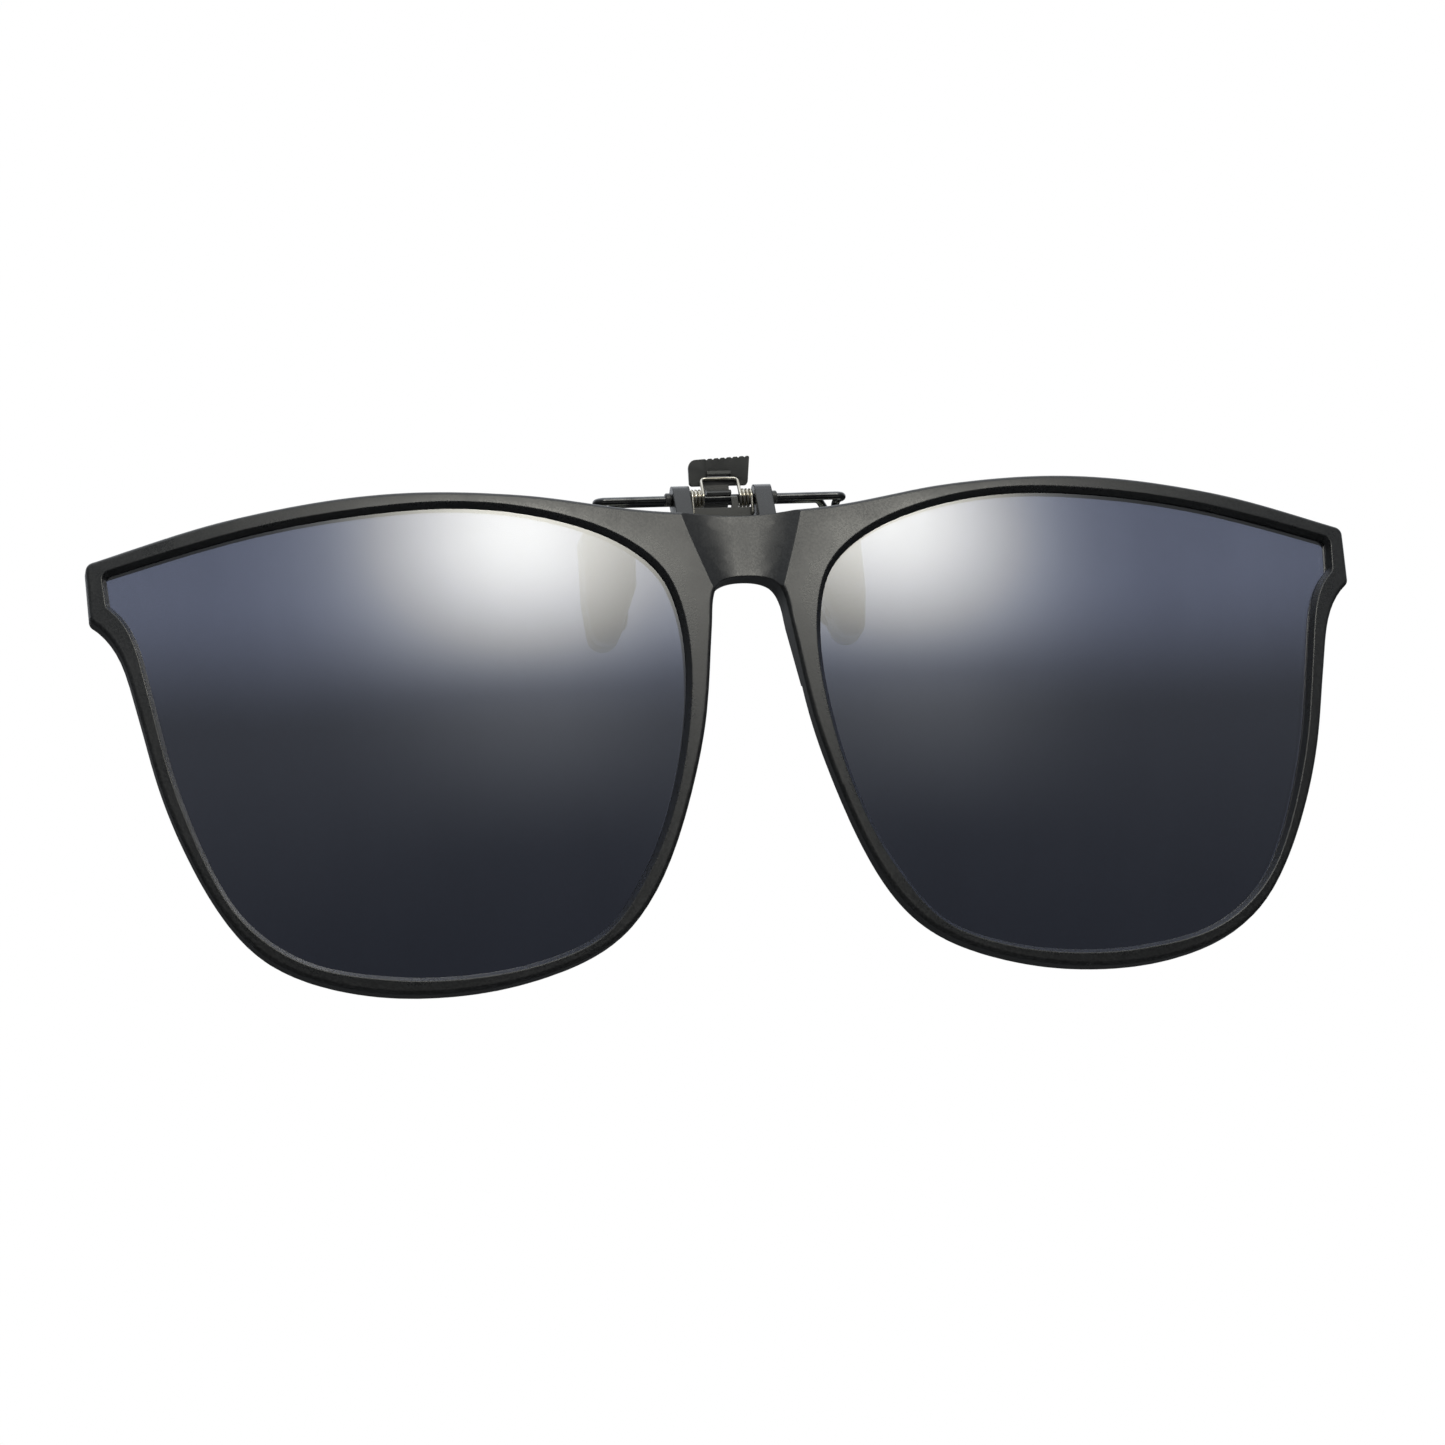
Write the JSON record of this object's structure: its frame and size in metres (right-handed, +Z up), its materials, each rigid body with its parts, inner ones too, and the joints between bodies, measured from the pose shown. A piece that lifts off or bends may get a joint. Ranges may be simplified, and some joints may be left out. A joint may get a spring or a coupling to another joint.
{
  "type": "clip on sunglasses",
  "caption": "Flip-up clip-on sunglasses: dark curved lenses in a black frame, hinged on a sprung wire clip with soft pads that grips the wearer's own spectacles",
  "frame": {"origin": "Middle of the closed clip jaws, midway between the front and rear pads and between the left and right pads", "axes": "+X to the wearer's left, +Y to the rear, towards the wearer's face, and +Z up. The lenses face -Y"},
  "size_m": [0.149, 0.0149, 0.0627],
  "materials": {
    "frame_plastic": "satin black moulding",
    "smoke_lens": "polarised smoke, polished",
    "black_wire": "black plated spring wire",
    "black_sheet": "black plated stamped steel",
    "spring_steel": "bright nickel plated",
    "silicone": "milky translucent silicone"
  },
  "bodies": {
    "clip": {"front_jaw_wire": "black_wire", "spring_stop": "black_sheet", "torsion_spring": "spring_steel", "retaining_collar_left": "black_sheet", "retaining_collar_right": "black_sheet", "front_pad_left": "silicone", "front_pad_right": "silicone"},
    "front": {"front_frame": "frame_plastic", "lens_left": "smoke_lens", "lens_right": "smoke_lens"},
    "rear_jaw": {"rear_jaw_wire": "black_wire", "thumb_lever": "black_sheet", "rear_pad_left": "silicone", "rear_pad_right": "silicone"}
  },
  "joints": [
    {"name": "flip_up", "type": "hinge", "parent": "clip", "child": "front", "pos_m": [0, -0.0038, 0.0097], "axis": [-1, 0, 0], "range_deg": [0, 90]},
    {"name": "jaw_open", "type": "hinge", "parent": "clip", "child": "rear_jaw", "pos_m": [0, -0.0038, 0.0097], "axis": [1, 0, 0], "range_deg": [0, 25], "stiffness_Nm_per_rad": 0.05, "springref_deg": -34.38, "deforming": ["torsion_spring"]}
  ]
}
